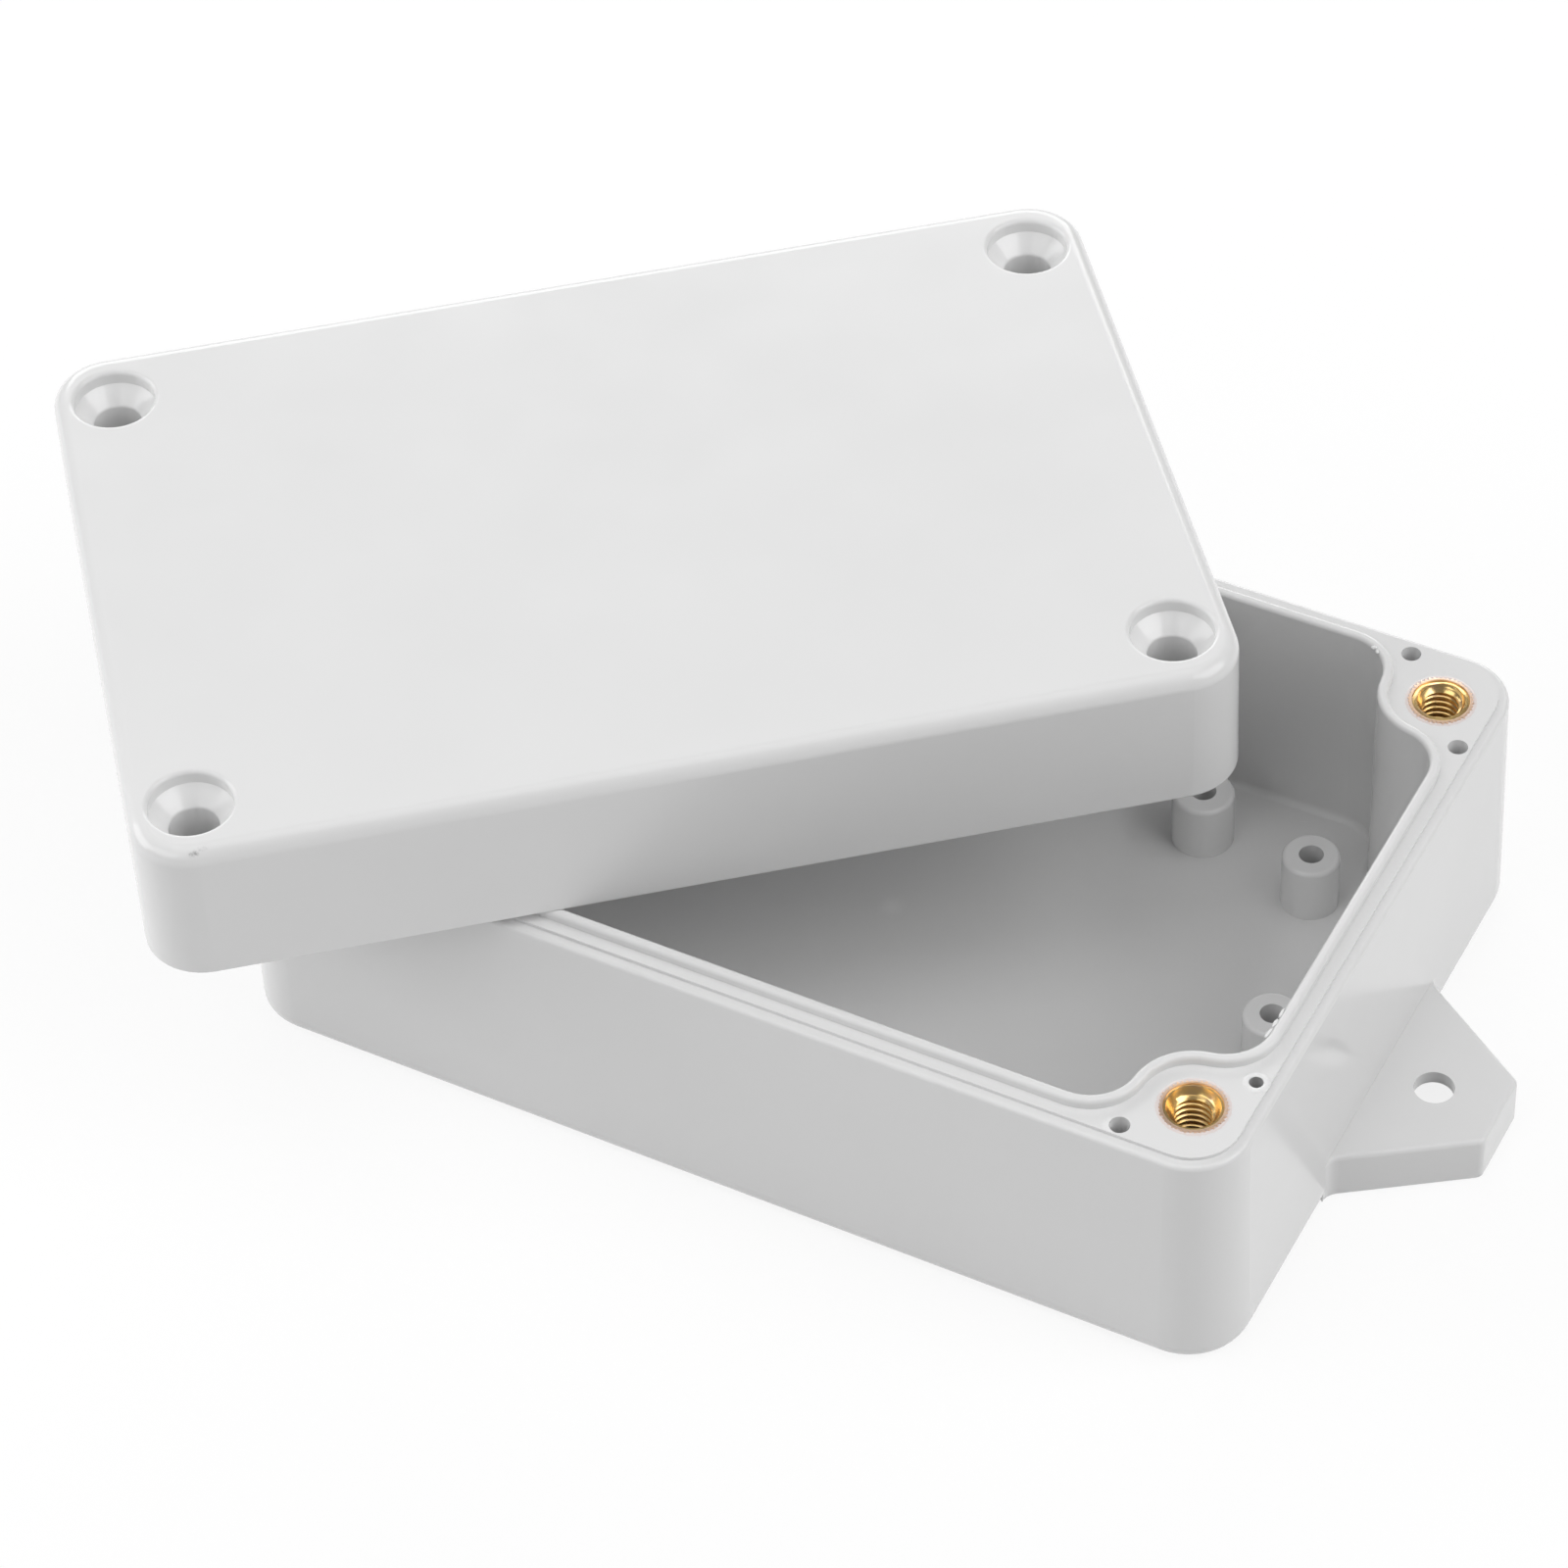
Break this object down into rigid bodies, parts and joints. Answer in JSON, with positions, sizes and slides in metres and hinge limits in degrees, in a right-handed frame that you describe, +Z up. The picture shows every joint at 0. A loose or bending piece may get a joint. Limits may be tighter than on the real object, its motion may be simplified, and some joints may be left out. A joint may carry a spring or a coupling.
{
  "type": "project box",
  "caption": "Sealed plastic enclosure for electronics, with mounting ears and brass corner inserts, its lid lying loose across the open base.",
  "frame": {"origin": "centre of the base's underside, where it stands", "axes": "+X along the base's long side towards the ear that shows, +Y towards the back, +Z up out of the base's mouth"},
  "size_m": [0.147, 0.1115, 0.0417],
  "materials": {
    "base_plastic": "light grey, satin gloss",
    "lid_plastic": "light grey, satin gloss",
    "gasket_rubber": "soft, dark",
    "insert_brass": "bright, turned"
  },
  "bodies": {
    "root": {"enclosure_base": "base_plastic", "lid": "lid_plastic", "lid_gasket": "gasket_rubber", "insert_back_left": "insert_brass", "insert_back_right": "insert_brass", "insert_front_left": "insert_brass", "insert_front_right": "insert_brass"}
  },
  "joints": []
}
